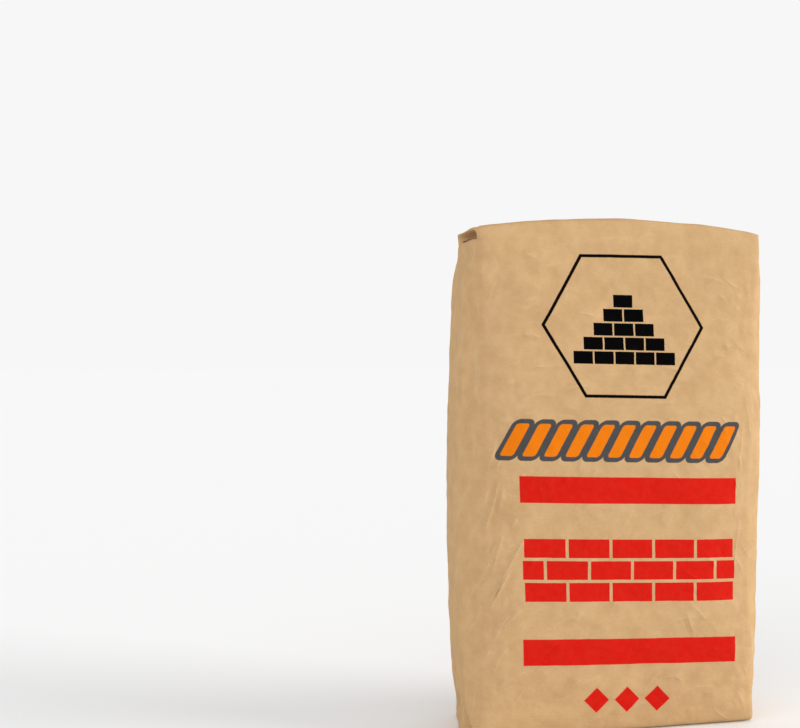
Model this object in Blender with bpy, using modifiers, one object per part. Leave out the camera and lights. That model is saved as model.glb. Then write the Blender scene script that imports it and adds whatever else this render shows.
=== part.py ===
"""A full paper sack of cement, standing on one of its folded ends.

The sack is a tube of layered kraft paper whose two ends are folded and pasted into flat
rectangles, so that it fills out to a block. It is filled through a flat paper sleeve in its
upper left corner, which the powder then presses shut. Metres, +Z up, the printed face to -Y,
the origin on the floor under the middle of the sack.
"""

from math import radians

import bmesh
import bpy
from mathutils import Matrix

# The folded ends, how far the powder pushes the short sides and the broad faces out between
# them, and how far the head has leant over to +X.
CORNER_HEIGHT = 0.600
HEAD_WIDTH = 0.360
FOOT_WIDTH = 0.351
END_DEPTH = 0.104
SIDE_SWELL = 0.016
FACE_SWELL = 0.026
LEAN = 0.007
TOP_ARCH = 0.0135
TOP_CROWN = 0.004
BOTTOM_LIFT = 0.002

# The tuck under each short edge of an end: a lip, and the fold that is pinched in beside it.
LIP_HEIGHT = 0.005
LIP_REACH = 0.001
TUCK_HEIGHT = 0.011
TUCK_DEPTH = 0.011
SHOULDER_HEIGHT = 0.016

# Paper, and the room that the powder keeps to it.
PAPER_WALL = 0.0004
POWDER_GAP = 0.0003

# The filling sleeve, as the powder has pressed it flat.
SLEEVE_SIDE_ROOM = 0.017
SLEEVE_HEIGHT = 0.0026
SLEEVE_LENGTH = 0.095
SLEEVE_WALL = 0.0005
SLEEVE_SETBACK = 0.004
SLEEVE_ROUNDING = 0.0011

# How the swelling is spread: the share of its height at which the sack is thickest, how soon
# it swells from an end, how square its outline is at an end and at the belly, and how much of
# its base lies flat. The last three are powers: how soon the arch and the lift die away from
# their end, and how evenly a tuck runs along its edge.
BELLY_LEVEL = 0.47
SWELL_POWER = 0.50
END_SQUARENESS = 14.0
BELLY_SQUARENESS = 4.2
FLAT_SHARE = 0.72
ARCH_POWER = 6
LIFT_POWER = 12
TUCK_POWER = 4

# Where the flat sack is divided across its width and through its depth, as shares of the half.
WIDTH_STATIONS = (0.22, 0.62, 0.88, 0.965)
DEPTH_STATIONS = (0.0, 0.45, 0.84)
BELLY_ROWS = 6

KRAFT = (0.60, 0.37, 0.17)
SLEEVE_PAPER = (0.48, 0.30, 0.14)
CEMENT_GREY = (0.34, 0.33, 0.31)

SMOOTH_BELOW = radians(40)
MOUTH_MARK = 1
HAIR = 0.0001


def clear_scene():
    for thing in list(bpy.data.objects):
        bpy.data.objects.remove(thing, do_unlink=True)


def collection(name):
    made = bpy.data.collections.new(name)
    bpy.context.scene.collection.children.link(made)
    return made


def finish(name, colour, roughness):
    """A plain finish with no metal in it."""
    made = bpy.data.materials.new(name)
    made.use_nodes = True
    shader = made.node_tree.nodes["Principled BSDF"]
    shader.inputs["Base Color"].default_value = (*colour, 1.0)
    shader.inputs["Roughness"].default_value = roughness
    shader.inputs["Metallic"].default_value = 0.0
    return made


def tuck_rows():
    """Heights of the rows that shape the tuck beside an end, measured from that end."""
    lip = LIP_HEIGHT
    fold = lip + TUCK_HEIGHT
    return lip, fold, fold + SHOULDER_HEIGHT


def row_heights():
    """Heights at which the flat sack is divided: close together at the tucks, wide at the belly."""
    near = tuck_rows()
    first = near[-1]
    last = CORNER_HEIGHT - near[-1]
    belly = [first + (last - first) * row / BELLY_ROWS for row in range(1, BELLY_ROWS)]
    return [*near, *belly, *(CORNER_HEIGHT - height for height in reversed(near))]


def flat_block():
    """The unfilled block: a box cut along the stations and the rows, with X and Y from -1 to 1."""
    mesh = bmesh.new()
    bmesh.ops.create_cube(mesh, size=2.0)
    bmesh.ops.translate(mesh, vec=(0, 0, 1), verts=mesh.verts)
    bmesh.ops.scale(mesh, vec=(1, 1, CORNER_HEIGHT / 2), verts=mesh.verts)
    cuts = []
    for share in WIDTH_STATIONS:
        cuts += [((side * share, 0, 0), (1, 0, 0)) for side in (-1, 1)]
    for share in DEPTH_STATIONS:
        sides = (-1, 1) if share else (1,)
        cuts += [((0, side * share, 0), (0, 1, 0)) for side in sides]
    cuts += [((0, 0, height), (0, 0, 1)) for height in row_heights()]
    for point, normal in cuts:
        everything = [*mesh.verts, *mesh.edges, *mesh.faces]
        bmesh.ops.bisect_plane(mesh, geom=everything, plane_co=point, plane_no=normal)
    return mesh


def swelling(level):
    """How far the powder has pushed the paper out at this share of the height: 0 to 1."""
    if level <= BELLY_LEVEL:
        share = level / BELLY_LEVEL
    else:
        share = (1 - level) / (1 - BELLY_LEVEL)
    return max(0.0, share * (2 - share)) ** SWELL_POWER


def roundness(across, through, squareness):
    """How much a point of the square outline is drawn in to round the outline's corners."""
    reach = max(abs(across), abs(through))
    if reach == 0:
        return 1.0
    total = abs(across) ** squareness + abs(through) ** squareness
    return reach / total ** (1 / squareness)


def tuck_offset(from_end, through):
    """How far a point of a short side stands out at a lip, or is pinched in at a fold."""
    lip, fold, shoulder = tuck_rows()
    fullness = 1 - through**TUCK_POWER
    if from_end < (lip + fold) / 2:
        return LIP_REACH * fullness
    if from_end < (fold + shoulder) / 2:
        return -TUCK_DEPTH * fullness
    return 0.0


def end_width(level):
    """Width between the folded ends' corners at this share of the height, without the swelling."""
    return FOOT_WIDTH + (HEAD_WIDTH - FOOT_WIDTH) * level


def filled_place(flat):
    """Where a point of the flat block lies once the sack is full."""
    across, through, height = flat
    level = height / CORNER_HEIGHT
    swell = swelling(level)

    squareness = END_SQUARENESS + (BELLY_SQUARENESS - END_SQUARENESS) * swell
    drawn_in = roundness(across, through, squareness)
    x = across * (end_width(level) / 2 + SIDE_SWELL * swell) * drawn_in + LEAN * level
    y = through * (END_DEPTH / 2 + FACE_SWELL * swell) * drawn_in
    if abs(across) > 1 - HAIR:
        x += tuck_offset(min(height, CORNER_HEIGHT - height), through) * (1 if across > 0 else -1)

    arch = TOP_ARCH * (1 - across**2) * level**ARCH_POWER
    on_top = level > 1 - HAIR
    crown = TOP_CROWN * (1 - across**2) * (1 - through**2) if on_top else 0.0
    off_flat = max(0.0, (abs(across) - FLAT_SHARE) / (1 - FLAT_SHARE))
    lift = BOTTOM_LIFT * off_flat**2 * (1 - level) ** LIFT_POWER
    return x, y, height + arch + crown + lift


def is_valve_mouth(face):
    """True for the faces under the upper left lip, which the filling sleeve opens through."""
    lip, fold, _ = tuck_rows()
    across, through, height = face.calc_center_median()
    on_left = across < HAIR - 1
    between = CORNER_HEIGHT - fold < height < CORNER_HEIGHT - lip
    return on_left and between and abs(through) < DEPTH_STATIONS[-1]


def sack_skin():
    """The full sack's outer surface as closed triangles, and how far -X it was moved to centre it."""
    mesh = flat_block()
    for face in mesh.faces:
        face.material_index = MOUTH_MARK if is_valve_mouth(face) else 0
    for vertex in mesh.verts:
        vertex.co = filled_place(vertex.co)
    cage = bpy.data.meshes.new("skin_cage")
    mesh.to_mesh(cage)
    mesh.free()

    skin = bpy.data.objects.new("skin", cage)
    bpy.context.scene.collection.objects.link(skin)
    smooth = skin.modifiers.new("smooth", "SUBSURF")
    smooth.levels = smooth.render_levels = 1
    split = skin.modifiers.new("split", "TRIANGULATE")
    split.quad_method = "FIXED"
    bpy.context.view_layer.update()
    graph = bpy.context.evaluated_depsgraph_get()
    made = bpy.data.meshes.new_from_object(skin.evaluated_get(graph))
    bpy.data.objects.remove(skin, do_unlink=True)
    reach = [vertex.co.x for vertex in made.vertices]
    middle = (min(reach) + max(reach)) / 2
    made.transform(Matrix.Translation((-middle, 0, 0)))
    return made, middle


def add(name, mesh, group, material):
    """The object made of this mesh, which is used up."""
    data = bpy.data.meshes.new(name)
    mesh.to_mesh(data)
    mesh.free()
    data.shade_smooth()
    data.set_sharp_from_angle(angle=SMOOTH_BELOW)
    data.materials.append(material)
    made = bpy.data.objects.new(name, data)
    group.objects.link(made)
    return made


def add_wall(obj, thickness):
    """Paper of this thickness, inwards from the surface."""
    wall = obj.modifiers.new("wall", "SOLIDIFY")
    wall.thickness = thickness
    wall.offset = -1
    wall.use_even_offset = True
    wall.use_quality_normals = True


def paper_sack(skin, group):
    """The pasted paper: the skin with its valve mouth open, and the paper's wall inside it."""
    mesh = bmesh.new()
    mesh.from_mesh(skin)
    mouth = [face for face in mesh.faces if face.material_index == MOUTH_MARK]
    bmesh.ops.delete(mesh, geom=mouth, context="FACES")
    for face in mesh.faces:
        face.material_index = 0
    sack = add("paper_sack", mesh, group, finish("kraft paper", KRAFT, 0.75))
    add_wall(sack, PAPER_WALL)


def sleeve_place(middle):
    """The middle of the filling sleeve's mouth, between its lip and its fold."""
    lip, fold, _ = tuck_rows()
    height = CORNER_HEIGHT - (lip + fold) / 2
    left = LEAN - HEAD_WIDTH / 2 - middle
    return left + SLEEVE_SETBACK, 0, height


def sleeve_bar(clearance, past_mouth):
    """The filling sleeve's outside from its mouth along +X, grown all round and out of the mouth."""
    size = (
        past_mouth + SLEEVE_LENGTH + clearance,
        END_DEPTH - 2 * SLEEVE_SIDE_ROOM + 2 * clearance,
        SLEEVE_HEIGHT + 2 * clearance,
    )
    mesh = bmesh.new()
    bmesh.ops.create_cube(mesh, size=1.0)
    bmesh.ops.scale(mesh, vec=size, verts=mesh.verts)
    bmesh.ops.translate(mesh, vec=(size[0] / 2 - past_mouth, 0, 0), verts=mesh.verts)
    lengthwise = [edge for edge in mesh.edges if edge.verts[0].co.yz == edge.verts[1].co.yz]
    bmesh.ops.bevel(mesh, geom=lengthwise, offset=SLEEVE_ROUNDING, segments=3, affect="EDGES", profile=0.5)
    return mesh


def valve_sleeve(place, group):
    """The filling sleeve: a flattened paper tube, open at its mouth and at its inner end."""
    mesh = sleeve_bar(0, 0)
    ends = [face for face in mesh.faces if len(face.verts) > 4]
    bmesh.ops.delete(mesh, geom=ends, context="FACES")
    sleeve = add("valve_sleeve", mesh, group, finish("sleeve paper", SLEEVE_PAPER, 0.8))
    sleeve.location = place
    add_wall(sleeve, SLEEVE_WALL)


def sleeve_room(place, group):
    """The room that the powder leaves for the sleeve, as a cutter that runs out of the sack."""
    past_mouth = SLEEVE_SETBACK + LIP_REACH + SIDE_SWELL
    room = add("sleeve_room", sleeve_bar(POWDER_GAP, past_mouth), group, None)
    room.location = place
    room.hide_render = True
    room.display_type = "WIRE"
    return room


def cement_fill(skin, group, room):
    """The powder: everything inside the paper, a hair clear of it and of the sleeve."""
    mesh = bmesh.new()
    mesh.from_mesh(skin)
    mesh.normal_update()
    inset = PAPER_WALL + POWDER_GAP
    moves = [(vertex, vertex.normal * vertex.calc_shell_factor() * inset) for vertex in mesh.verts]
    for vertex, move in moves:
        vertex.co -= move
    for face in mesh.faces:
        face.material_index = 0
    fill = add("cement_fill", mesh, group, finish("cement powder", CEMENT_GREY, 0.95))
    cut = fill.modifiers.new("sleeve room", "BOOLEAN")
    cut.operation = "DIFFERENCE"
    cut.solver = "EXACT"
    cut.object = room


def main():
    clear_scene()
    parts = collection("cement_bag")
    cutters = collection("cutters")
    skin, middle = sack_skin()
    mouth = sleeve_place(middle)
    paper_sack(skin, parts)
    valve_sleeve(mouth, parts)
    cement_fill(skin, parts, sleeve_room(mouth, cutters))
    bpy.data.meshes.remove(skin)


main()
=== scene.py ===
from math import radians

import bmesh
import bpy
import numpy as np
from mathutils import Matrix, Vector
from mathutils.bvhtree import BVHTree


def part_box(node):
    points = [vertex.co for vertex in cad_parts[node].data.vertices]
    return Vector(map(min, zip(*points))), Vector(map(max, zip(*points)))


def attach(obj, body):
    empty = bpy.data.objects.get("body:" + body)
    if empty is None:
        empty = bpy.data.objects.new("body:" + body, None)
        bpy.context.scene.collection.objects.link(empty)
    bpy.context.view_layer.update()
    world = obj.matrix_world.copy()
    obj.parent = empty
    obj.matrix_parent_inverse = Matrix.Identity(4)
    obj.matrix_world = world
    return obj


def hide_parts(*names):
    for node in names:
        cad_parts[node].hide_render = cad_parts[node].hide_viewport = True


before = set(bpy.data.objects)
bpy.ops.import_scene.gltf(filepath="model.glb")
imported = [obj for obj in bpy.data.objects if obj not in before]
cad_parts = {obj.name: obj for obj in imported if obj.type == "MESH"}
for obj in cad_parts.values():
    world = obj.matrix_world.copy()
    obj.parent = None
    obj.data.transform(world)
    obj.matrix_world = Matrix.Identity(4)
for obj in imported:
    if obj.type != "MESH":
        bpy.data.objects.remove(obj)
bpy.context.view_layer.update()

# The sack: a tube of layered brown kraft paper whose ends are folded and pasted into flat
# rectangles. It starts here as the empty square block that those folds give it, in cells small
# enough to wrinkle.
CORNER_HEIGHT = 0.600
FLAT_WIDTH = 0.360
FLAT_DEPTH = 0.104
BLOCK = (FLAT_WIDTH, FLAT_DEPTH, CORNER_HEIGHT)
CELL = 0.006
SEED = 11


def pick_out(*things):
    """Selects these objects and nothing else, the first of them active."""
    bpy.ops.object.select_all(action="DESELECT")
    for thing in things:
        thing.select_set(True)
    bpy.context.view_layer.objects.active = things[0]


def divide(thing, axis, cuts):
    """Cuts every edge that runs along this axis into equal lengths."""
    pick_out(thing)
    bpy.ops.object.mode_set(mode="EDIT")
    bpy.ops.mesh.select_mode(type="EDGE")
    bpy.ops.mesh.select_all(action="DESELECT")
    mesh = bmesh.from_edit_mesh(thing.data)
    for edge in mesh.edges:
        run = edge.verts[1].co - edge.verts[0].co
        edge.select_set(abs(run[axis]) > 0.99 * run.length)
    bmesh.update_edit_mesh(thing.data)
    bpy.ops.mesh.subdivide(number_cuts=cuts)
    bpy.ops.object.mode_set(mode="OBJECT")


def folded_block(name, cell):
    """The square block that the tube's folds give it, in cells of about this size."""
    bpy.ops.object.select_all(action="DESELECT")
    bpy.ops.mesh.primitive_cube_add(size=1, location=(0, 0, CORNER_HEIGHT / 2), scale=BLOCK)
    made = bpy.context.object
    made.name = name
    bpy.ops.object.transform_apply(location=True, rotation=False, scale=True)
    for axis in range(3):
        divide(made, axis, round(BLOCK[axis] / cell) - 1)
    return made


def points(thing):
    """The vertices of an object, one row each."""
    found = np.empty(len(thing.data.vertices) * 3, np.float32)
    thing.data.vertices.foreach_get("co", found)
    return found.reshape(-1, 3).astype(float)


def move_to(thing, places):
    """Puts an object's vertices at these places."""
    thing.data.vertices.foreach_set("co", places.astype(np.float32).ravel())
    thing.data.update()


def kept(thing, name):
    """The three values a vertex keeps under this name, one row for each vertex."""
    found = np.empty(len(thing.data.vertices) * 3, np.float32)
    thing.data.attributes[name].data.foreach_get("vector", found)
    return found.reshape(-1, 3).astype(float)


def keep(thing, name, values):
    """Keeps three values with each vertex."""
    there = thing.data.attributes.get(name)
    if there is None:
        there = thing.data.attributes.new(name, "FLOAT_VECTOR", "POINT")
    there.data.foreach_set("vector", values.astype(np.float32).ravel())


def apply(thing, modifier):
    pick_out(thing)
    bpy.ops.object.modifier_apply(modifier=modifier.name)


sack = folded_block("kraft_sack", CELL)
keep(sack, "flat", points(sack))

# Filling: the powder pushes the paper out from inside, and paper can't stretch, so it puckers
# along its edges and towards its corners. A cloth under pressure finds those puckers.
FILL_PRESSURE = 4
FILL_FRAMES = 12
UNEVENNESS = 0.0002
PAPER_MASS = 0.3
STIFFNESS = 60
DAMPING = 15

chance = np.random.default_rng(SEED)
start = points(sack)
move_to(sack, start + chance.normal(0, UNEVENNESS, start.shape))
fill = sack.modifiers.new("fill", "CLOTH")
paper = fill.settings
paper.quality = 8
paper.mass = PAPER_MASS
paper.air_damping = 2
paper.tension_stiffness = paper.compression_stiffness = paper.shear_stiffness = STIFFNESS
paper.tension_damping = paper.compression_damping = paper.shear_damping = DAMPING
paper.bending_stiffness = 2
paper.bending_damping = 0.5
paper.use_pressure = True
paper.uniform_pressure_force = FILL_PRESSURE
paper.effector_weights.gravity = 0
fill.collision_settings.use_collision = False
fill.point_cache.frame_start = 1
fill.point_cache.frame_end = FILL_FRAMES
for step in range(1, FILL_FRAMES + 1):
    bpy.context.scene.frame_set(step)
apply(sack, fill)
bpy.context.scene.frame_set(1)

finer = sack.modifiers.new("finer", "SUBSURF")
finer.levels = finer.render_levels = 1
apply(sack, finer)

# The filled form. Each row of the profile is a height above the foot, half the sack's width
# there, and how far its middle has leant to +X as the powder settled, in millimetres.
PROFILE = ((0, 177.0, -0.6), (16, 175.5, -0.9), (32, 178.9, -1.0), (56, 182.8, -1.4), (90, 185.8, -2.0),
           (140, 188.2, -1.9), (210, 191.6, -1.5), (300, 193.0, -0.4), (400, 192.1, 0.7), (470, 189.7, 1.5),
           (520, 187.5, 2.4), (550, 185.2, 3.2), (574, 180.3, 4.4), (588, 177.8, 4.1), (600, 179.4, 4.0))
# How far the broad faces swell, how far the head arches, sinks and is crowned, and how far the
# outer parts of the foot lift.
FACE_SWELL = 0.026
TOP_ARCH = 0.0134
TOP_SINK = 0.0004
TOP_CROWN = 0.003
BOTTOM_LIFT = 0.0006
# The share of its height at which the sack is thickest, how soon it swells from its ends, and
# how its outline, which is square at the ends, becomes rounder towards the belly.
BELLY_LEVEL = 0.47
SWELL_POWER = 0.50
END_SQUARENESS = 36
BELLY_SQUARENESS = 3.9
ROUNDING_POWER = 1.34
SQUARE_END = 0.045
# How much of the foot lies flat, and how soon the arch and the lift die away from their end.
FLAT_SHARE = 0.72
ARCH_POWER = 6
LIFT_POWER = 12
# Rows of cells crowd towards the folded ends, where the folds are sharp. The long edges of the
# ends are folded round a small radius.
CROWDED_HEIGHT = 0.048
CROWDING = 0.75
FOOT_ROUND = 0.0068
HEAD_ROUND = 0.0020


def swelling(level):
    """How far the sack swells at this share of its height, from 0 to 1."""
    share = np.where(level <= BELLY_LEVEL, level / BELLY_LEVEL, (1 - level) / (1 - BELLY_LEVEL))
    return np.maximum(0, share * (2 - share)) ** SWELL_POWER


def crowded(height):
    """The height of a row once the rows near the ends are closer together."""
    end = np.minimum(height, CORNER_HEIGHT - height)
    share = np.clip(end / CROWDED_HEIGHT, 0, 1)
    closer = end * (1 - CROWDING * (1 - share) ** 2)
    return np.where(height < CORNER_HEIGHT / 2, closer, CORNER_HEIGHT - closer)


def ease(share):
    """0 to 1, with a soft start and end."""
    share = np.clip(share, 0, 1)
    return share * share * (3 - 2 * share)


def through_points(value, known, wanted):
    """A smooth curve through the wanted values at the known ones."""
    slope = np.gradient(wanted, known)
    i = np.clip(np.searchsorted(known, value) - 1, 0, len(known) - 2)
    gap = known[i + 1] - known[i]
    u = (value - known[i]) / gap
    level = (1 + 2 * u) * (1 - u) ** 2 * wanted[i] + u * u * (3 - 2 * u) * wanted[i + 1]
    return level + u * (1 - u) * gap * ((1 - u) * slope[i] - u * slope[i + 1])


# The tucks of the folded ends, in the narrow sides. From an end's short edge round its lip and
# along its side, each row is a distance on the flat paper, how far inwards and how far down, in
# millimetres. One is the pasted slit, the other the mouth that the sack was filled through.
SLIT = ((0, -0.6, 0), (1, -1.6, 0.8), (2.6, -2.2, 2.4), (4.5, -1.8, 4.4), (6.9, 2.2, 5.6),
        (9.7, 1.6, 8.6), (12.7, -0.6, 12.2), (16, -1.0, 16), (19.5, -0.8, 19.5), (30, 0, 30))
MOUTH = ((0, -0.2, 0), (1, -0.6, 0.5), (2.6, 0.8, 1.2), (4.5, 7.0, 1.5), (6.9, 13.0, 3.6),
         (9.7, 14.0, 8.4), (12.7, 6.0, 11.6), (16, -0.8, 12.6), (19.5, -1.6, 16.4), (27, 0, 27))
# Slit and mouth close towards the corners, over these shares of the half depth. Only the mouth
# is tucked in fully.
ON_SIDE = 0.999
CALM_SIDE = 0.3
TUCK_END = 0.97
SLIT_FADE = 0.25
MOUTH_START = 0.98
MOUTH_FRONT_FADE = 0.26
MOUTH_BACK_FADE = 0.55
# Beside each tuck the side is dented up to a fold that rises from the corners to its middle.
FOLD_START = 0.006
FOLD_RISE = 0.046
FOLD_DENT = 0.0034
DENT_RUN = 4
DENT_OFF_END = 0.014
MOUTH_DENT = 0.3


def down_side(end, shape):
    """How far in and how far down the paper lies at this distance from an end."""
    row, inwards, down = np.array(shape).T / 1000
    return np.interp(end, row, inwards), np.where(end < row[-1], np.interp(end, row, down), end)


def tucked(across, through, height):
    """How far the tucks draw each point towards the middle of the sack, and how far up."""
    off_end = np.minimum(height, CORNER_HEIGHT - height)
    at_foot = height / CORNER_HEIGHT < 0.5
    on_side = abs(across) > ON_SIDE
    at_mouth = (across < 0) & (height / CORNER_HEIGHT > 0.5)
    slit = CALM_SIDE * ease((TUCK_END - abs(through)) / SLIT_FADE)
    mouth = ease((MOUTH_START + through) / MOUTH_FRONT_FADE) * ease((TUCK_END - through) / MOUTH_BACK_FADE)
    near = np.where(at_mouth, mouth, slit) * on_side
    inwards, down = np.where(at_mouth, down_side(off_end, MOUTH), down_side(off_end, SLIT))
    inside_fold = (FOLD_START + FOLD_RISE * (1 - abs(through)) - off_end) / FOLD_START
    dent = FOLD_DENT * ease(inside_fold) * np.exp(-np.maximum(0, inside_fold - 1) / DENT_RUN)
    dent = np.where(at_mouth, MOUTH_DENT, 1) * dent * ease(off_end / DENT_OFF_END) * on_side
    return inwards * near + dent, np.where(at_foot, 1, -1) * (down - off_end) * near


# The foot was pushed in where the sack was set down. At -X a deep fold rises from the front
# corner, and the paper under it stands out as an ear. At +X a faint one rises from the back
# corner. The bottom face follows them near its short edges.
EAR_REACH = 0.0055
EAR_HEIGHT = 0.024
EAR_MIDDLE = -0.1
EAR_SPREAD = 0.55
CORNER_FOLD = 0.0165
FOLD_FOOT = 0.008
FOLD_CLIMB = 0.044
WIDTH_ABOVE = 0.0024
WIDTH_BELOW = 0.013
FOLD_OPENS = (1.10, 0.30)
FOLD_CLOSES = (0.2, 0.4)
UNDER_FROM = 0.84
UNDER_FADE = 0.16
FOLD_TOP = 0.1


def pushed_in(across, through, height):
    """How far the foot's folds draw each point towards the middle of the sack."""
    ear = EAR_REACH * np.exp(-((height / EAR_HEIGHT) ** 2))
    ear = ear * np.exp(-(((through - EAR_MIDDLE) / EAR_SPREAD) ** 2))
    turned = through * -np.sign(across)
    off_line = height - (FOLD_FOOT + FOLD_CLIMB * np.maximum(0, turned + 1) ** 3)
    fold = CORNER_FOLD * np.exp(-((off_line / np.where(off_line > 0, WIDTH_ABOVE, WIDTH_BELOW)) ** 2))
    fold = fold * ease((turned + FOLD_OPENS[0]) / FOLD_OPENS[1])
    fold = fold * ease((FOLD_CLOSES[0] - turned) / FOLD_CLOSES[1])
    under_edge = (height < 1e-6) * ease((abs(across) - UNDER_FROM) / UNDER_FADE)
    fold = np.where(across < 0, fold - ear, CALM_SIDE * fold)
    return fold * np.maximum(abs(across) > ON_SIDE, under_edge) * (height < FOLD_TOP)


def filled_place(flat, folds=True):
    """Where points of the flat block lie once the sack is full."""
    across = flat[:, 0] / (FLAT_WIDTH / 2)
    through = flat[:, 1] / (FLAT_DEPTH / 2)
    height = crowded(flat[:, 2])
    level = height / CORNER_HEIGHT
    off_end = np.minimum(height, CORNER_HEIGHT - height)
    swell = swelling(level)
    rounder = swell**ROUNDING_POWER * ease(off_end / SQUARE_END)
    squareness = 1 / (1 / END_SQUARENESS + (1 / BELLY_SQUARENESS - 1 / END_SQUARENESS) * rounder)
    reach = np.maximum(abs(across), abs(through))
    total = abs(across) ** squareness + abs(through) ** squareness
    drawn_in = np.where(reach > 0, reach / np.maximum(total, 1e-300) ** (1 / squareness), 1)
    heights, halves, middles = np.array(PROFILE).T / 1000
    x = across * through_points(height, heights, halves) * drawn_in
    x = x + through_points(height, heights, middles)
    rounding = np.where(level < 0.5, FOOT_ROUND, HEAD_ROUND)
    under = 1 - np.clip(off_end / rounding, 0, 1)
    turned_in = rounding * (1 - np.sqrt(1 - under**2))
    y = through * (FLAT_DEPTH / 2 + FACE_SWELL * swell - turned_in) * drawn_in
    z = height.copy()
    if folds:
        inwards, upwards = tucked(across, through, height)
        x = x - np.sign(across) * (inwards + pushed_in(across, through, height))
        z = z + upwards
    arch = (TOP_ARCH * (1 - across**2) - TOP_SINK) * level**ARCH_POWER
    crown = np.where(level > 0.9999, TOP_CROWN * (1 - across**2) * (1 - through**2), 0)
    off_flat = np.maximum(0, (abs(across) - FLAT_SHARE) / (1 - FLAT_SHARE))
    lift = BOTTOM_LIFT * off_flat**2 * (1 - level) ** LIFT_POWER
    return np.stack([x, y, z + arch + crown + lift], 1)


def smoothed(values, thing, rounds):
    """Each vertex's value shared out with its neighbours, this many times."""
    ends = np.empty(len(thing.data.edges) * 2, np.int32)
    thing.data.edges.foreach_get("vertices", ends)
    a, b = ends.reshape(-1, 2).T
    count = len(values)
    around = (np.bincount(a, minlength=count) + np.bincount(b, minlength=count))[:, None]
    for _ in range(rounds):
        shared = [np.bincount(a, values[b, k], count) + np.bincount(b, values[a, k], count)
                  for k in range(values.shape[1])]
        values = (values + np.stack(shared, 1) / around) / 2
    return values


# The simulated paper keeps its puckers, and its broad shape is drawn to the filled form. Close to
# the ends the pasted folds hold the paper still, and it has no puckers.
FORM_PASSES = 4
SMOOTHING = 64
STILL_END = 0.012
STILL_FADE = 0.030

flat = kept(sack, "flat")
height = flat[:, 2]
off_end = np.minimum(height, CORNER_HEIGHT - height)
form = filled_place(flat)
place = form
broad = filled_place(flat, folds=False)
place = points(sack)
for _ in range(FORM_PASSES):
    place = place + smoothed(broad - place, sack, SMOOTHING)
place = form + (place - broad) * ease((off_end - STILL_END) / STILL_FADE)[:, None]
move_to(sack, place)
keep(sack, "filled", place)

# Creases: handling leaves short sharp creases in the paper. A crease is given by where it starts
# and ends on the flat tube, in millimetres along the tube from the middle of the printed face
# and up from the foot, then by its height, and by how far it bows if that isn't the usual.
TUBE_ROUND = 2 * (FLAT_WIDTH + FLAT_DEPTH)
USUAL_BOW = 0.15
SEEN_CREASES = (
    (-180, 243, -158, 301, 2.1, 0.1), (-170, 200, -150, 242, 2.1, -0.1), (-172, 154, -136, 200, 2.0, 0.1),
    (-164, 119, -138, 149, 1.7, 0.2), (-146, 193, -120, 229, 1.7, 0.1), (-184, 189, -168, 223, 1.7, 0.1),
    (-177, 319, -163, 347, 1.4, 0.1), (-165, 86, -137, 110, 1.5, 0.2), (-147, 134, -119, 156, 1.7, 0.1),
    (-195, 229, -181, 265, 1.5, 0.1), (-197, 154, -181, 196, 1.5, 0.1), (-157, 265, -147, 297, 1.3, 0.1),
    (-137, 159, -107, 171, 1.4, 0.2), (-132, 215, -112, 241, 1.3, 0.1), (-152, 62, -114, 82, 1.4, 0.2),
    (-119, 432, -93, 437, 0.8), (-111, 402, -79, 405, 0.8), (-127, 378, -101, 384, 0.7),
    (-59, 262, -23, 278, 0.9), (23, 255, 65, 272, 0.8), (-35, 132, 7, 150, 1.0), (91, 258, 125, 270, 0.8),
    (45, 128, 91, 139, 0.9), (150, 182, 163, 260, 0.9), (156, 302, 166, 370, 0.8),
    (-83, 134, -53, 146, 0.8), (-103, 548, -67, 553, 0.8), (-39, 572, 5, 574, 0.8), (31, 556, 71, 559, 0.8),
    (87, 540, 127, 534, 0.8), (-145, 512, -117, 517, 0.7), (-149, 470, -123, 474, 0.7),
    (-59, 60, -19, 72, 0.9), (71, 44, 119, 52, 0.9), (-178, 204, -168, 234, 1.5, 0.1),
    (-171, 214, -163, 240, -1.3, 0.1), (-182, 262, -176, 296, 1.4, 0.1), (-170, 282, -160, 306, 1.4, 0.1),
    (-166, 128, -150, 142, -1.3, 0.1), (-160, 170, -146, 186, 1.5, 0.1), (-174, 168, -166, 190, -1.3, 0.1),
    (-152, 206, -140, 232, 1.4, 0.1), (-166, 330, -158, 354, -0.8, 0.1),
)
# The others come in small fans of up to three side by side, by turns raised and sunk. They are
# steep on the narrow sides, nearly level towards the head, and lean between. Right of a line
# on the face they lean the other way.
CREASE_FANS = 480
FAN_MOST = 3
FAN_STEP = 7.5
FAN_SCATTER = 5
FAN_TURN = 0.12
TUBE_QUARTER = 232
TUBE_TALL = 600
NARROW_REACH = 54
MIRROR_FROM = 60
HEAD_FROM = 0.62
FOOT_TO = 0.3
SIDE_LEAN = (58, 92)
HEAD_LEAN = (4, 7)
FACE_LEAN = (14, 62)
SIDE_LENGTH = (24, 80)
FACE_LENGTH = (10, 30, 1.6)
CREASE_TALL = (0.3, 1.0)
SIDE_TALL = 1.7
FACE_TALL = 1.1
BY_TURNS = (1, -0.7)
MOST_BOW = 0.3


def along_tube(flat):
    """How far round the tube each vertex is, from the middle of the printed face."""
    x, y = flat[:, 0], flat[:, 1]
    half_width, half_depth = FLAT_WIDTH / 2, FLAT_DEPTH / 2
    side = np.sign(x) * (half_width + y + half_depth)
    back = np.where(x < 0, -TUBE_ROUND / 2 - x, TUBE_ROUND / 2 - x)
    on_side = abs(x) > half_width - 1e-5
    return np.where(on_side, side, np.where(y > half_depth - 1e-5, back, x))


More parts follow.
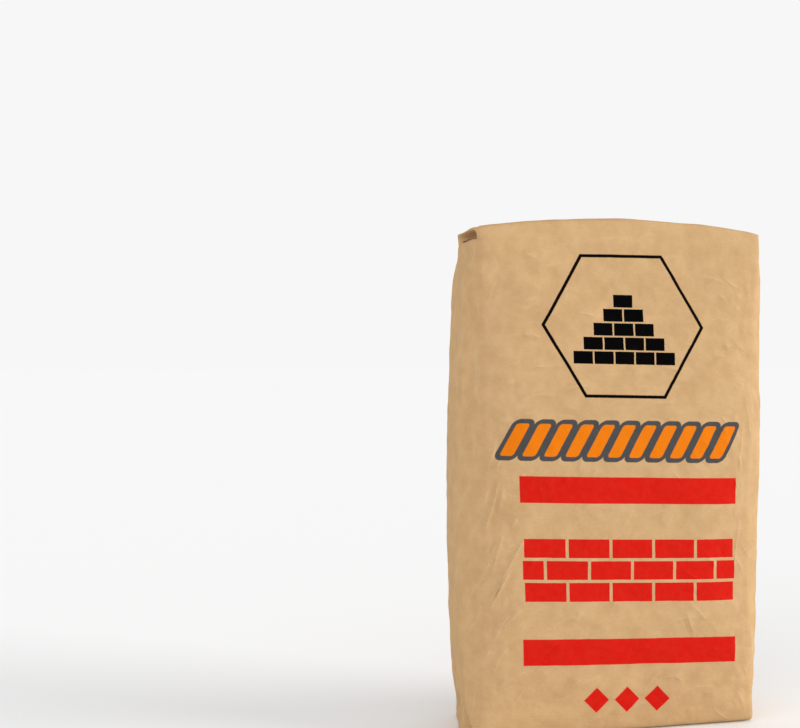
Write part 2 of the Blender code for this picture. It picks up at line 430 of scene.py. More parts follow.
def off_crease(around, height, crease):
    """How far each vertex is off a crease, which bows a little, and how far along it."""
    x0, z0, x1, z1 = (value / 1000 for value in crease[:4])
    run, rise = x1 - x0, z1 - z0
    length = np.hypot(run, rise)
    right = (around - x0 + TUBE_ROUND / 2) % TUBE_ROUND - TUBE_ROUND / 2
    up = height - z0
    share = (right * run + up * rise) / length**2
    bow = crease[5] if len(crease) > 5 else USUAL_BOW
    return (up * run - right * rise) / length - bow * length * share * (1 - share), share


creases = list(SEEN_CREASES)
chance = np.random.default_rng(SEED + 1)
for _ in range(CREASE_FANS):
    start = chance.uniform(-2 * TUBE_QUARTER, 2 * TUBE_QUARTER)
    level = chance.uniform(0.02, 0.98)
    on_narrow_side = abs(abs(start) - TUBE_QUARTER) < NARROW_REACH
    if on_narrow_side:
        lean = chance.uniform(*SIDE_LEAN)
    elif level > HEAD_FROM:
        lean = chance.normal(*HEAD_LEAN)
    else:
        lean = chance.uniform(*FACE_LEAN)
    lean = radians(lean if start < MIRROR_FROM else -lean if level < FOOT_TO else 180 - lean)
    for member in range(chance.integers(1, FAN_MOST + 1)):
        if on_narrow_side:
            length = chance.uniform(*SIDE_LENGTH)
        else:
            length = FACE_LENGTH[0] + FACE_LENGTH[1] * chance.random() ** FACE_LENGTH[2]
        tall = chance.uniform(*CREASE_TALL) * (SIDE_TALL if on_narrow_side else FACE_TALL)
        tall = tall * BY_TURNS[member % 2]
        lean += chance.normal(0, FAN_TURN)
        x0 = start + member * FAN_STEP * np.sin(lean) + chance.normal(0, FAN_SCATTER) * np.cos(lean)
        z0 = level * TUBE_TALL - member * FAN_STEP * np.cos(lean)
        z0 += chance.normal(0, FAN_SCATTER) * np.sin(lean)
        creases.append((x0, z0, x0 + length * np.cos(lean), z0 + length * np.sin(lean),
                        tall, chance.uniform(-MOST_BOW, MOST_BOW)))

# Each crease bends the mesh softly. Its sharp line is finer than the mesh, so the vertices keep
# how far they are off it and how tall it is, and the paper's material draws it. Creases that
# come near each other are kept apart in three layers, and one that finds no room is left out.
RIDGE_WIDTH = 0.0060
RIDGE_POWER = 1.3
FADE_POWER = 0.6
CREASE_ROOM = 0.0085
ROOM_PAST_END = CREASE_ROOM / 0.05
SHARP_ROOM = 0.0052
SHARP_SHARE = 0.60
WAVER = 0.0016
WAVER_SIZE = 0.013
BREAK_SIZE = 0.012
BREAK_MIDDLE = 0.62
BREAK_RANGE = 0.5
LAYERS = 3
# Cells of the unevenness are turned, so that their rows don't run along the sack.
CELL_TURN = np.array(((0.36, 0.48, -0.80), (-0.80, 0.60, 0.0), (0.48, 0.64, 0.60)))


def unevenness(where, size, seed):
    """Smooth dents and bumps of this size, from -1 to 1."""
    grid = np.random.default_rng(seed).uniform(-1, 1, (16, 16, 16))
    turned = where @ CELL_TURN / size + 100
    cell = np.floor(turned).astype(int)
    part = turned - cell
    part = part * part * (3 - 2 * part)
    total = 0
    for corner in np.ndindex(2, 2, 2):
        share = np.prod(np.where(corner, part, 1 - part), axis=1)
        total = total + share * grid[tuple(((cell + corner) % 16).T)]
    return total


around = along_tube(flat)
waver = WAVER * unevenness(place, WAVER_SIZE, 7)
broken = BREAK_MIDDLE + BREAK_RANGE * unevenness(place, BREAK_SIZE, 9)
proud = np.zeros(len(flat))
off_lines = np.zeros((len(flat), LAYERS))
line_heights = np.zeros((len(flat), LAYERS))
taken = np.zeros((len(flat), LAYERS), bool)
for crease in creases:
    off, share = off_crease(around, height, crease)
    off = off + waver
    fading = np.maximum(0, 4 * share * (1 - share)) ** FADE_POWER
    room = (abs(off) < CREASE_ROOM) & (abs(share - 0.5) < 0.5 + ROOM_PAST_END)
    free = [layer for layer in range(LAYERS) if not (taken[:, layer] & room).any()]
    if not free:
        continue
    layer = free[0]
    taken[room, layer] = True
    tall = crease[4] / 1000
    off_lines[room, layer] = off[room]
    line_heights[room, layer] = (SHARP_SHARE * tall * fading * broken * (abs(off) < SHARP_ROOM))[room]
    proud += tall * np.maximum(0, 1 - abs(off) / RIDGE_WIDTH) ** RIDGE_POWER * fading
on_tube = (height > 1e-4) & (height < CORNER_HEIGHT - 1e-4)
keep(sack, "crease_off", off_lines)
keep(sack, "crease_height", line_heights * on_tube[:, None])

# Handling also leaves soft relief: dents and finger marks, each with a height, a size and the
# seed of its draws, and folds where dents meet, with a size and a seed. The paper is pulled
# tighter round the narrow sides, so its outline is calmer there.
BROAD_DENTS = (0.0012, 0.085, 3)
SMALL_DENTS = (0.0008, 0.034, 4)
FINGER_MARKS = (0.00045, 0.017, 6)
BROAD_FOLDS = (0.050, 5)
FINE_FOLDS = (0.026, 8)
FINE_SHARE = 0.45
FOLD_HEIGHT = 0.0013
FOLD_LEVEL = 0.4
SIDE_CALM = 0.60
SIDE_REACH = 0.040
END_RELIEF = 0.6
FLAP_ROOM = 0.0008


def dents(tall, size, seed):
    """Smooth dents and bumps of this height and size."""
    return tall * unevenness(place, size, seed)


folded = FOLD_LEVEL - abs(unevenness(place, *BROAD_FOLDS))
folded = folded + FINE_SHARE * (FOLD_LEVEL - abs(unevenness(place, *FINE_FOLDS)))
soft = dents(*BROAD_DENTS) + dents(*SMALL_DENTS) + FOLD_HEIGHT * folded
soft = soft + dents(*FINGER_MARKS)
quiet = np.clip((off_end - STILL_END) / STILL_FADE, 0, 1)
quiet = quiet * (1 - SIDE_CALM * np.exp(-(((abs(around) - TUBE_ROUND / 4) / SIDE_REACH) ** 2)))
proud = np.where(on_tube, (proud + soft) * quiet, END_RELIEF * soft)
outwards = np.empty(len(place) * 3, np.float32)
sack.data.vertex_normals.foreach_get("vector", outwards)
place = place + outwards.reshape(-1, 3).astype(float) * proud[:, None]
place[:, 2] = np.maximum(place[:, 2], FLAP_ROOM)
move_to(sack, place)
sack.data.shade_smooth()

# The folded ends: two long flaps are folded over each end and pasted, the outer one over the
# inner. Their free edges run along the end and cut back at 45 degrees towards its corners.
PLY = 0.0006
INNER_PLY = 0.95
OVERLAP_DEPTH = 0.062
FLAP_CELLS = (120, 20)
FLAP_SETBACK = 0.004
CUT_BACK = 0.96
FOLD_SETBACK = 0.002
SUNK_REACH = 0.006
SUNK = 0.0004
EDGE_POWER = 6
EDGE_LIFT = 0.0007
FAR_ABOVE = 0.8
FAR_BELOW = -0.2
SHARP_EDGE = radians(35)


def sheet(name, columns, rows):
    """A flat sheet of paper, one unit square, in this many cells."""
    bpy.ops.object.select_all(action="DESELECT")
    bpy.ops.mesh.primitive_grid_add(x_subdivisions=columns, y_subdivisions=rows, size=1)
    made = bpy.context.object
    made.name = name
    return made


def laid_on(start, direction):
    """Where lines from these points first meet the sack."""
    return np.array([tree.ray_cast(Vector(point), Vector(direction))[0] or point for point in start])


def thicken(thing, thickness):
    """Gives a sheet its thickness, on its outer side."""
    wall = thing.modifiers.new("ply", "SOLIDIFY")
    wall.thickness = thickness
    wall.offset = 1
    apply(thing, wall)
    thing.data.shade_smooth()
    pick_out(thing)
    bpy.ops.object.shade_smooth_by_angle(angle=SHARP_EDGE)


tree = BVHTree.FromObject(sack, bpy.context.evaluated_depsgraph_get())
folds = []
for upper in (True, False):
    away = 1 if upper else -1
    for outer in (False, True):
        flap = sheet("end_flap", *FLAP_CELLS)
        unit = points(flap)
        reach = (unit[:, 1] + 0.5) * OVERLAP_DEPTH
        half = FLAT_WIDTH / 2 - FLAP_SETBACK - reach * CUT_BACK
        side = -1 if outer == upper else 1
        spot = np.stack([unit[:, 0] * 2 * half, side * (FLAT_DEPTH / 2 - FOLD_SETBACK - reach),
                         np.full(len(unit), CORNER_HEIGHT if upper else 0.0)], 1)
        put = filled_place(spot)
        put[:, 2] = FAR_ABOVE if upper else FAR_BELOW
        put = laid_on(put, (0, 0, -away))
        sunk = np.clip(1 - reach / SUNK_REACH, 0, 1)
        free = np.clip(reach / OVERLAP_DEPTH, 0, 1) ** EDGE_POWER
        lifted = free * (0.5 + 0.5 * unevenness(put, 0.05, 8 + outer)) * EDGE_LIFT
        put[:, 2] += away * ((PLY if outer else 0) - (PLY + SUNK) * sunk + upper * lifted)
        move_to(flap, put)
        keep(flap, "flat", spot)
        if (side < 0) != upper:
            flap.data.flip_normals()
        thicken(flap, PLY * INNER_PLY)
        folds.append(flap)

# The tube's seam: one edge of the paper is pasted over the other, down the back of the sack. Its
# free edge stands a little proud, and the other side of the strip runs into the paper.
SEAM_EDGE = 0.038
SEAM_LAP = 0.035
SEAM_CELLS = (10, 180)
SEAM_SETBACK = 0.008
SEAM_PROUD = 0.00005
SEAM_SUNK = 0.0003
SEAM_LIFT = 0.0006
SEAM_LIFT_REACH = 0.009
FAR_BEHIND = 0.3

seam = sheet("back_seam", *SEAM_CELLS)
unit = points(seam)
from_edge = (unit[:, 0] + 0.5) * SEAM_LAP
spot = np.stack([SEAM_EDGE + from_edge, np.full(len(unit), FLAT_DEPTH / 2),
                 CORNER_HEIGHT / 2 + unit[:, 1] * (CORNER_HEIGHT - SEAM_SETBACK)], 1)
put = filled_place(spot, folds=False)
put[:, 1] = FAR_BEHIND
put = laid_on(put, (0, -1, 0))
put[:, 1] += SEAM_PROUD - (PLY + SEAM_SUNK) * np.clip(from_edge / SEAM_LAP, 0, 1) ** 2
put[:, 1] += SEAM_LIFT * np.clip(1 - from_edge / SEAM_LIFT_REACH, 0, 1) ** 2
move_to(seam, put)
keep(seam, "flat", spot)
seam.data.flip_normals()
thicken(seam, PLY)
folds.append(seam)
pick_out(sack, *folds)
bpy.ops.object.join()

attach(sack, "root")
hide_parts("paper_sack")


# Kraft paper, unbleached and machine-glazed: matt and brown, faintly streaked across the sack,
# and paler along sharp creases, partly where the fibres break and partly as a painted highlight.
# Its print is flat ink on the front.
def colour(hex_code):
    """An sRGB colour as linear red, green, blue and alpha."""
    parts = [int(hex_code[i:i + 2], 16) / 255 for i in (0, 2, 4)]
    return (*(p / 12.92 if p <= 0.04045 else ((p + 0.055) / 1.055) ** 2.4 for p in parts), 1)


def add_node(tree, kind, *inputs, out=0, named=(), **settings):
    """Adds a node with its settings and its inputs, in order or named, each a value or another
    node's output, and gives back one of its outputs. Inputs 6 and 7 of a Mix are its colours."""
    made = tree.nodes.new("ShaderNode" + kind)
    for name, value in settings.items():
        setattr(made, name, value)
    for place, value in [*enumerate(inputs), *dict(named).items()]:
        if isinstance(value, bpy.types.NodeSocket):
            tree.links.new(value, made.inputs[place])
        elif value is not None:
            made.inputs[place].default_value = value
    return made.outputs[out]


def new_material(name):
    """A material, its nodes and its shader."""
    made = bpy.data.materials.new(name)
    made.use_nodes = True
    return made, made.node_tree, made.node_tree.nodes["Principled BSDF"]


def dress(thing, material):
    """Gives a piece this material alone."""
    thing.data.materials.clear()
    thing.data.materials.append(material)


kraft, paint, shader = new_material("machine_glazed_kraft")

# The print was laid down slightly out of square with the tube: it drops to the right, more so
# near the foot, and widens towards the head. Each vertex keeps where it is on the printing
# plate, and how far behind the front.
PLATE_MIDDLE = 0.0139
PLATE_LEAN = 0.0165
FOOT_STRETCH = 0.987
HEAD_STRETCH = 0.079
PLATE_DROP = 0.039
DROP_BEND = 0.16
STEEPEST_DROP = 0.1

x, _, z = kept(sack, "filled").T
on_plate = (x - PLATE_MIDDLE + PLATE_LEAN * z) / (FOOT_STRETCH + HEAD_STRETCH * z)
drop = PLATE_DROP - DROP_BEND * (z - STEEPEST_DROP) ** 2
behind = kept(sack, "flat")[:, 1] + FLAT_DEPTH / 2
keep(sack, "plate", np.stack([on_plate, z + x * drop, behind], 1))

# Ink creeps a little along the fibres, so its edges are soft and not quite straight.
INK_EDGE = 0.0004
INK_CREEP = 0.0003
CREEP_SCALE = 700.0
FRONT_REACH = 0.0005

where = add_node(paint, "TexCoord", out="Object")
plate = add_node(paint, "Attribute", attribute_name="plate", attribute_type="GEOMETRY", out="Vector")
creep = add_node(paint, "TexNoise", where, named={"Scale": CREEP_SCALE, "Detail": 1.0}, out="Color")
creep = add_node(paint, "VectorMath", creep, (0.5, 0.5, 0.5), operation="SUBTRACT")
creep = add_node(paint, "VectorMath", creep, (INK_CREEP * 2, INK_CREEP * 2, 0), operation="MULTIPLY")
plate = add_node(paint, "VectorMath", plate, creep, operation="ADD")
front_only = add_node(paint, "SeparateXYZ", plate, out=2)
front_only = add_node(paint, "Math", front_only, FRONT_REACH, operation="LESS_THAN")
upright = add_node(paint, "VectorMath", plate, (1, 1, 0), operation="MULTIPLY")


def inked(gap):
    """1 where a distance is negative, with an edge as soft as ink on paper."""
    return add_node(paint, "MapRange", gap, INK_EDGE, -INK_EDGE, 0.0, 1.0)


def block_gap(point, centre, size, rounding=0.0006):
    """How far a point is outside a printed block with rounded corners, negative inside it."""
    inner = (size[0] / 2 - rounding, size[1] / 2 - rounding, 1)
    off = add_node(paint, "VectorMath", point, (*centre, 0), operation="SUBTRACT")
    off = add_node(paint, "VectorMath", off, operation="ABSOLUTE")
    off = add_node(paint, "VectorMath", off, inner, operation="SUBTRACT")
    off = add_node(paint, "VectorMath", off, (0, 0, 0), operation="MAXIMUM")
    off = add_node(paint, "VectorMath", off, operation="LENGTH", out="Value")
    return add_node(paint, "Math", off, rounding, operation="SUBTRACT")


def repeated(point, centre, pitch, most):
    """A point's place round the nearest of a row of marks, which has this many to each side."""
    from_row = add_node(paint, "VectorMath", point, (*centre, 0), operation="SUBTRACT")
    shifted = add_node(paint, "VectorMath", from_row, (pitch / 2, 0, 0), operation="ADD")
    nearest = add_node(paint, "VectorMath", shifted, (pitch, 1000, 1000), operation="SNAP")
    nearest = add_node(paint, "VectorMath", nearest, (-most * pitch, 0, 0), operation="MAXIMUM")
    nearest = add_node(paint, "VectorMath", nearest, (most * pitch, 0, 0), operation="MINIMUM")
    return add_node(paint, "VectorMath", from_row, nearest, operation="SUBTRACT")


# Two red bars, and between them a band of three courses of bricks. Brickwork is 1 on both kinds
# of brick and 0 in the joints, at a scale of 1.
RED_INK = colour("C81910")
BAR = (0.2668, 0.0312)
BAR_HEIGHTS = (0.2915, 0.1002)
BAND = (0.2640, 0.0772)
BAND_HEIGHT = 0.1971
BRICKWORK = ((1, 1, 1, 1), (1, 1, 1, 1), (0, 0, 0, 1), 1.0)
BAND_JOINT = 0.0019
JOINT_EDGE = 0.1

bars = [inked(block_gap(upright, (0, middle), BAR)) for middle in BAR_HEIGHTS]
red = add_node(paint, "Math", *bars, operation="MAXIMUM")
band_corner = (-BAND[0] * 0.6, BAND_HEIGHT - BAND[1] / 2, 0)
band_place = add_node(paint, "VectorMath", upright, band_corner, operation="SUBTRACT")
courses = add_node(paint, "TexBrick", band_place, *BRICKWORK, BAND_JOINT, JOINT_EDGE, 0.0,
                   BAND[0] / 5, BAND[1] / 3)
in_band = inked(block_gap(upright, (0, BAND_HEIGHT), BAND))
band = add_node(paint, "Math", courses, in_band, operation="MULTIPLY")
red = add_node(paint, "Math", red, band, operation="MAXIMUM")

# Three red diamonds below them.
DIAMONDS = (-0.0050, 0.0413)
DIAMOND_PITCH = 0.0385
DIAMOND_REACH = 0.0158

mark = repeated(upright, DIAMONDS, DIAMOND_PITCH, 1)
mark = add_node(paint, "VectorMath", mark, operation="ABSOLUTE")
mark = add_node(paint, "VectorMath", mark, (1, 1, 0), operation="DOT_PRODUCT", out="Value")
mark = inked(add_node(paint, "Math", mark, DIAMOND_REACH, operation="SUBTRACT"))
red = add_node(paint, "Math", red, mark, operation="MAXIMUM")

# A row of eleven slanted orange blocks in one dark outline.
ORANGE_INK = colour("DD750F")
OUTLINE_INK = colour("464647")
ROW_MIDDLE = (-0.0106, 0.3495)
ROW_PITCH = 0.0253
ROW_SLANT = 0.55
ROW_BLOCK = (0.0155, 0.0385)
ROW_ROUNDING = 0.0035
OUTLINE_WIDTH = 0.0054

lean = add_node(paint, "VectorMath", upright, (0, -ROW_SLANT, 0), operation="DOT_PRODUCT", out="Value")
lean = add_node(paint, "CombineXYZ", lean, 0.0, 0.0)
slanted = add_node(paint, "VectorMath", upright, lean, operation="ADD")
slanted_middle = (ROW_MIDDLE[0] - ROW_SLANT * ROW_MIDDLE[1], ROW_MIDDLE[1])
block = repeated(slanted, slanted_middle, ROW_PITCH, 5)
block = block_gap(block, (0, 0), ROW_BLOCK, ROW_ROUNDING)
orange = inked(block)
outline = inked(add_node(paint, "Math", block, OUTLINE_WIDTH, operation="SUBTRACT"))

# A thin black hexagon round a stack of bricks, each course one brick shorter than the one below.
BLACK_INK = colour("020101")
EMBLEM_MIDDLE = (-0.0045, 0.4852, 0)
HEXAGON = 0.0830
HALF_LINE = 0.0019
BRICK = (0.0250, 0.0168)
STACK_FOOT = -0.0460
STACK_JOINT = 0.0010

emblem = add_node(paint, "VectorMath", upright, EMBLEM_MIDDLE, operation="SUBTRACT")
emblem_off = add_node(paint, "VectorMath", emblem, operation="ABSOLUTE")
slant = add_node(paint, "VectorMath", emblem_off, (0.866, 0.5, 0), operation="DOT_PRODUCT", out="Value")
flat_side = add_node(paint, "SeparateXYZ", emblem_off, out=1)
ring = add_node(paint, "Math", slant, flat_side, operation="MAXIMUM")
ring = add_node(paint, "Math", ring, HEXAGON, operation="SUBTRACT")
ring = add_node(paint, "Math", ring, operation="ABSOLUTE")
ring = inked(add_node(paint, "Math", ring, HALF_LINE, operation="SUBTRACT"))
stack_corner = (-3 * BRICK[0], STACK_FOOT, 0)
stack_place = add_node(paint, "VectorMath", emblem, stack_corner, operation="SUBTRACT")
stack = add_node(paint, "TexBrick", stack_place, *BRICKWORK, STACK_JOINT, JOINT_EDGE, 0.0, *BRICK)
course = add_node(paint, "VectorMath", stack_place, (1, 1 / BRICK[1], 1), operation="MULTIPLY")
course = add_node(paint, "VectorMath", course, operation="FLOOR")
course = add_node(paint, "SeparateXYZ", course, out=1)
narrowed = add_node(paint, "Math", course, BRICK[0] / 2, -2.5 * BRICK[0], operation="MULTIPLY_ADD")
emblem_side = add_node(paint, "SeparateXYZ", emblem_off, out=0)
stepped = inked(add_node(paint, "Math", emblem_side, narrowed, operation="ADD"))
stack_middle = (0, STACK_FOOT + 2.5 * BRICK[1])
in_stack = inked(block_gap(emblem, stack_middle, (5 * BRICK[0], 5 * BRICK[1])))
stack = add_node(paint, "Math", stack, stepped, operation="MULTIPLY")
stack = add_node(paint, "Math", stack, in_stack, operation="MULTIPLY")
black = add_node(paint, "Math", ring, stack, operation="MAXIMUM")

# Sharp creases: up to three layers of lines, each a ridge that falls away to its sides. The
# fibres are rubbed pale along the taller ones, and the paleness is also a painted highlight on them.
LINE_WIDTH = 0.0034
RUBBED_AND_HIGHLIT_HEIGHT = 0.00045
RUBBED_AND_HIGHLIT_SHARE = 0.22

lines = add_node(paint, "Attribute", attribute_name="crease_off", attribute_type="GEOMETRY", out="Vector")
tall = add_node(paint, "Attribute", attribute_name="crease_height", attribute_type="GEOMETRY", out="Vector")
lines = add_node(paint, "VectorMath", lines, operation="ABSOLUTE")
lines = add_node(paint, "VectorMath", lines, (-1 / LINE_WIDTH,) * 3, (1, 1, 1), operation="MULTIPLY_ADD")
lines = add_node(paint, "VectorMath", lines, (0, 0, 0), operation="MAXIMUM")
lines = add_node(paint, "VectorMath", lines, lines, operation="MULTIPLY")
ridges = add_node(paint, "VectorMath", lines, tall, operation="DOT_PRODUCT", out="Value")
rubbed_and_highlit = add_node(paint, "VectorMath", tall, operation="ABSOLUTE")
rubbed_and_highlit = add_node(paint, "VectorMath", lines, rubbed_and_highlit, operation="DOT_PRODUCT", out="Value")
rubbed_and_highlit = add_node(paint, "MapRange", rubbed_and_highlit, 0.0, RUBBED_AND_HIGHLIT_HEIGHT, 0.0, RUBBED_AND_HIGHLIT_SHARE)

# Brown of the bare paper: clouds about 20 mm across, streaks 12 mm long and 3 mm tall across the
# sack, and darker fibres, which are drawn about 3 mm long so that they show.
CLOUDS = {"Scale": 48.0, "Detail": 4.0, "Roughness": 0.55}
CLOUD_BROWNS = {6: colour("BC986D"), 7: colour("C7A478")}
STREAKS = {"Scale": 330.0, "Detail": 3.0, "Roughness": 0.55}
STREAK_SHARE = 0.22
STREAK_BROWN = colour("C5A378")
FIBRES = {"Scale": 1500.0, "Detail": 2.0}
FIBRE_SHARE = 0.20
FIBRE_BROWN = colour("A68158")
RUBBED_AND_HIGHLIT_BROWN = colour("D6BB94")
ACROSS = (0.25, 0.25, 1.0)

clouds = add_node(paint, "TexNoise", where, named=CLOUDS)
clouds = add_node(paint, "MapRange", clouds, 0.34, 0.66, 0.0, 1.0)
base = add_node(paint, "Mix", clouds, named=CLOUD_BROWNS, data_type="RGBA", out=2)
across_sack = add_node(paint, "Mapping", where, None, None, ACROSS)
streaks = add_node(paint, "TexNoise", across_sack, named=STREAKS)
streaks = add_node(paint, "MapRange", streaks, 0.35, 0.65, 0.0, STREAK_SHARE)
base = add_node(paint, "Mix", streaks, named={6: base, 7: STREAK_BROWN}, data_type="RGBA", out=2)
fibres = add_node(paint, "TexNoise", across_sack, named=FIBRES)
fibres = add_node(paint, "MapRange", fibres, 0.35, 0.65, FIBRE_SHARE, 0.0)
base = add_node(paint, "Mix", fibres, named={6: base, 7: FIBRE_BROWN}, data_type="RGBA", out=2)
# Paler along the taller creases: rubbed fibres, and a painted highlight.
base = add_node(paint, "Mix", rubbed_and_highlit, named={6: base, 7: RUBBED_AND_HIGHLIT_BROWN}, data_type="RGBA", out=2)

# The coloured inks are thin and let a little of the paper through, in spots about 8 mm across.
# Black covers it.
INK_SPOTS = {"Scale": 130.0, "Detail": 3.0, "Roughness": 0.6}
THINNEST_INK = 0.982

thin_ink = add_node(paint, "TexNoise", where, named=INK_SPOTS)
thin_ink = add_node(paint, "MapRange", thin_ink, 0.36, 0.68, 1.0, THINNEST_INK)
thin_ink = add_node(paint, "Math", thin_ink, front_only, operation="MULTIPLY")
prints = ((outline, OUTLINE_INK, thin_ink), (orange, ORANGE_INK, thin_ink),
          (red, RED_INK, thin_ink), (black, BLACK_INK, front_only))
for mask, ink, cover in prints:
    mask = add_node(paint, "Math", mask, cover, operation="MULTIPLY")
    base = add_node(paint, "Mix", mask, named={6: base, 7: ink}, data_type="RGBA", out=2)
paint.links.new(base, shader.inputs["Base Color"])
shader.inputs["Roughness"].default_value = 0.72
shader.inputs["Specular IOR Level"].default_value = 0.03

# Relief too fine for the mesh: the sharp creases, crumples about 12 mm tall and 16 mm wide, and
# the grain of the paper, drawn 1 mm across so that it shows.
CRUMPLES = {"Scale": 84.0, "Detail": 3.0, "Roughness": 0.5}
CRUMPLE_RUN = (0.75, 0.75, 1.0)
CRUMPLE_HEIGHT = 0.00112
GRAIN = {"Scale": 900.0, "Detail": 2.0}
GRAIN_HEIGHT = 0.00002

crumple_run = add_node(paint, "Mapping", where, None, None, CRUMPLE_RUN)
crumples = add_node(paint, "TexNoise", crumple_run, named=CRUMPLES)
crumples = add_node(paint, "Math", crumples, CRUMPLE_HEIGHT, operation="MULTIPLY")
grain = add_node(paint, "TexNoise", where, named=GRAIN)
grain = add_node(paint, "Math", grain, GRAIN_HEIGHT, operation="MULTIPLY")
relief = add_node(paint, "Math", crumples, grain, operation="ADD")
relief = add_node(paint, "Math", relief, ridges, operation="ADD")
bump = add_node(paint, "Bump", named={"Height": relief, "Strength": 1.0, "Distance": 1.0})
paint.links.new(bump, shader.inputs["Normal"])
dress(sack, kraft)

# The filling sleeve: a flat tube of thinner brown paper in the upper left corner, which the
# powder has pressed shut, so only its mouth shows under the lip. It gapes least at its edges.
SLEEVE_WIDTH = 0.068
SLEEVE_LENGTH = 0.094
SLEEVE_PLY = 0.0003
SLEEVE_ROUNDS = 64
SLEEVE_CELLS = 31
GAPE = 0.0007
MOUTH_GAPE = 0.0004
MOUTH_RUN = 0.08
EDGE_CLOSING = 0.35
EDGE_SHARPNESS = 0.55
MOUTH_FULLNESS = 0.8
WAVE_HEIGHT = 0.0008
WAVE_SIZE = 0.022

bpy.ops.object.select_all(action="DESELECT")
bpy.ops.mesh.primitive_cylinder_add(vertices=SLEEVE_ROUNDS, radius=0.5, depth=1, end_fill_type="NOTHING",
                                    rotation=(0, radians(90), 0))
sleeve = bpy.context.object
sleeve.name = "filling_sleeve"
bpy.ops.object.transform_apply(location=False, rotation=True, scale=False)
divide(sleeve, 0, SLEEVE_CELLS - 1)
low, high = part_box("valve_sleeve")
middle = (low + high) / 2
unit = points(sleeve)
inwards = unit[:, 0] + 0.5
around_sleeve = np.arctan2(unit[:, 2], unit[:, 1])
level_part, upright_part = np.cos(around_sleeve), np.sin(around_sleeve)
across_sleeve = np.sign(level_part) * abs(level_part) ** EDGE_SHARPNESS * SLEEVE_WIDTH / 2
closing = 1 - EDGE_CLOSING * (2 * across_sleeve / SLEEVE_WIDTH) ** 2
gape = GAPE + MOUTH_GAPE * np.exp(-inwards / MOUTH_RUN)
open_by = np.sign(upright_part) * abs(upright_part) ** MOUTH_FULLNESS * gape * closing
place = np.stack([low.x + inwards * SLEEVE_LENGTH, middle.y + across_sleeve, middle.z + open_by], 1)
place[:, 2] += WAVE_HEIGHT * unevenness(place * (1, 1, 0), WAVE_SIZE, 21)
move_to(sleeve, place)
wall = sleeve.modifiers.new("ply", "SOLIDIFY")
wall.thickness = SLEEVE_PLY
wall.offset = -1
apply(sleeve, wall)
sleeve.data.shade_smooth()
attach(sleeve, "root")
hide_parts("valve_sleeve")

# Its paper is thin unglazed kraft: rough, and a darker brown in spots about 8 mm across. Its
# browns are darker than the sack's, partly as painted shade inside the mouth.
SLEEVE_BROWNS_AND_SHADE = {6: colour("9A7550"), 7: colour("B28A60")}

sleeve_kraft, thin, thin_shader = new_material("thin_kraft")
where = add_node(thin, "TexCoord", out="Object")
spots = add_node(thin, "TexNoise", where, named={"Scale": 120.0, "Detail": 4.0})
brown_and_shade = add_node(thin, "Mix", spots, named=SLEEVE_BROWNS_AND_SHADE, data_type="RGBA", out=2)
thin.links.new(brown_and_shade, thin_shader.inputs["Base Color"])
thin_shader.inputs["Roughness"].default_value = 0.8
dress(sleeve, sleeve_kraft)

# The powder: fine grey cement, 10 to 15 mm inside the paper, and further in near the foot, where
# the folds of the short sides reach in. The sleeve's inner end dips into its top.
POWDER_CELL = 0.008
POWDER_TOP = 0.578
POWDER_FOOT = 0.003
POWDER_IN = 0.009
FOOT_IN = 0.012
FOOT_IN_HEIGHT = 0.055
TOP_WAVES = 0.002

powder = folded_block("cement_powder", POWDER_CELL)
block = points(powder)
level = block[:, 2] / CORNER_HEIGHT
inset = POWDER_IN + FOOT_IN * np.exp(-(block[:, 2] / FOOT_IN_HEIGHT) ** 2)
block[:, 0] *= 1 - inset / (FLAT_WIDTH / 2)
block[:, 1] *= 1 - POWDER_IN / (FLAT_DEPTH / 2)
block[:, 2] = POWDER_FOOT + level * (POWDER_TOP - POWDER_FOOT)
settled = filled_place(block, folds=False)
settled[:, 2] += TOP_WAVES * unevenness(settled, 0.05, 31) * (level > 0.999)
move_to(powder, settled)
powder.data.shade_smooth()
bpy.ops.object.shade_smooth_by_angle(angle=radians(40))
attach(powder, "root")
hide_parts("cement_fill")

# Cement is a dull grey dust, in lumps about 11 mm across.
CEMENT_GREYS = {6: colour("8E8C87"), 7: colour("A3A19C")}

cement, dust, dust_shader = new_material("cement_powder")
where = add_node(dust, "TexCoord", out="Object")
lumps = add_node(dust, "TexNoise", where, named={"Scale": 90.0, "Detail": 8.0})
grey_dust = add_node(dust, "Mix", lumps, named=CEMENT_GREYS, data_type="RGBA", out=2)
dust.links.new(grey_dust, dust_shader.inputs["Base Color"])
dust_shader.inputs["Roughness"].default_value = 0.95
dress(powder, cement)

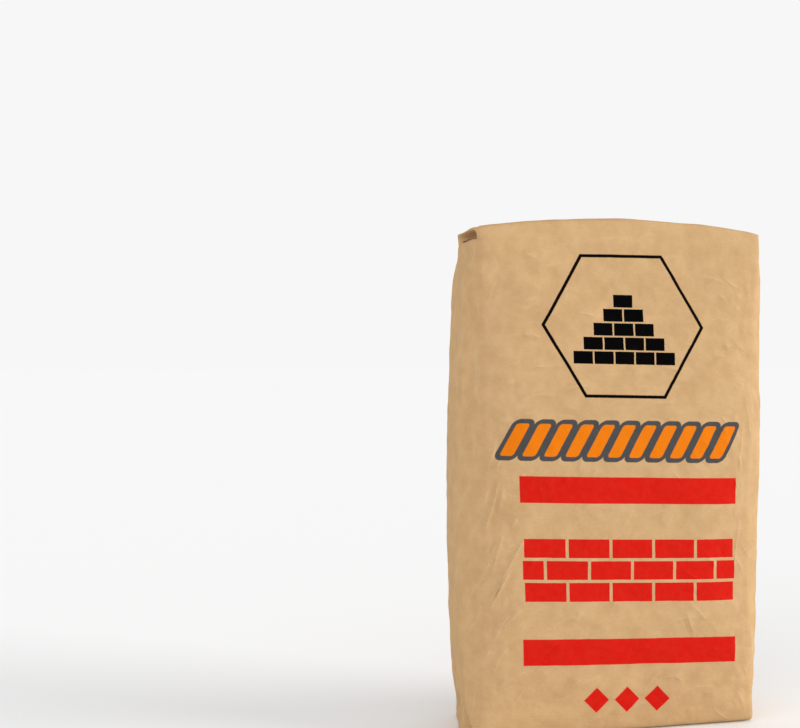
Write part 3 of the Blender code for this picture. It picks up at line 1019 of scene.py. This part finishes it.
# The studio: a pale matt floor, a key light from the right and a weak fill from the left. Each
# light has a strength, and in degrees its spread, its turn and how far it is tipped up from
# straight down.
FLOOR_TONE = 0.902
BACKDROP = 0.93
AIR_LIGHT = 0.740
LIGHTS = (("key", 2.55, 30, 70, 75), ("fill", 0.98, 60, -50, 75))

bpy.ops.object.select_all(action="DESELECT")
bpy.ops.mesh.primitive_plane_add(size=60)
floor = bpy.context.object
floor.name = "studio_floor"
white, _, matt = new_material("white_floor")
matt.inputs["Base Color"].default_value = (FLOOR_TONE, FLOOR_TONE, FLOOR_TONE, 1)
matt.inputs["Roughness"].default_value = 1
matt.inputs["Specular IOR Level"].default_value = 0
dress(floor, white)

world = bpy.data.worlds.new("studio")
bpy.context.scene.world = world
world.use_nodes = True
sky = world.node_tree
air = sky.nodes["Background"]
air.inputs["Color"].default_value = (1, 1, 1, 1)
seen = add_node(sky, "LightPath", out="Is Camera Ray")
sky.links.new(add_node(sky, "MapRange", seen, 0.0, 1.0, AIR_LIGHT, BACKDROP), air.inputs["Strength"])

for name, strength, spread, turn, tipped in LIGHTS:
    lamp = bpy.data.lights.new(name, "SUN")
    lamp.energy = strength
    lamp.angle = radians(spread)
    hung = bpy.data.objects.new(name, lamp)
    hung.rotation_euler = (radians(tipped), 0, radians(turn))
    bpy.context.scene.collection.objects.link(hung)

# The camera: it stands in front of the sack, to the left and a little above its middle, and looks
# almost level. The picture is shifted, so that the sack shows at its right.
PICTURE_WIDTH = 800
FOCAL_PIXELS = 1224.1
FILM_WIDTH = 36
CAMERA_TILT = 0.59
CAMERA_TURN = -12.89

lens = bpy.data.cameras.new("photograph")
lens.sensor_width = FILM_WIDTH
lens.lens = FOCAL_PIXELS / PICTURE_WIDTH * FILM_WIDTH
lens.shift_x = -0.125
camera = bpy.data.objects.new("photograph", lens)
camera.location = (-0.4639, -1.4496, 0.4555)
camera.rotation_euler = (radians(90 - CAMERA_TILT), 0, radians(CAMERA_TURN))
bpy.context.scene.collection.objects.link(camera)
bpy.context.scene.camera = camera
bpy.context.scene.view_settings.view_transform = "Standard"
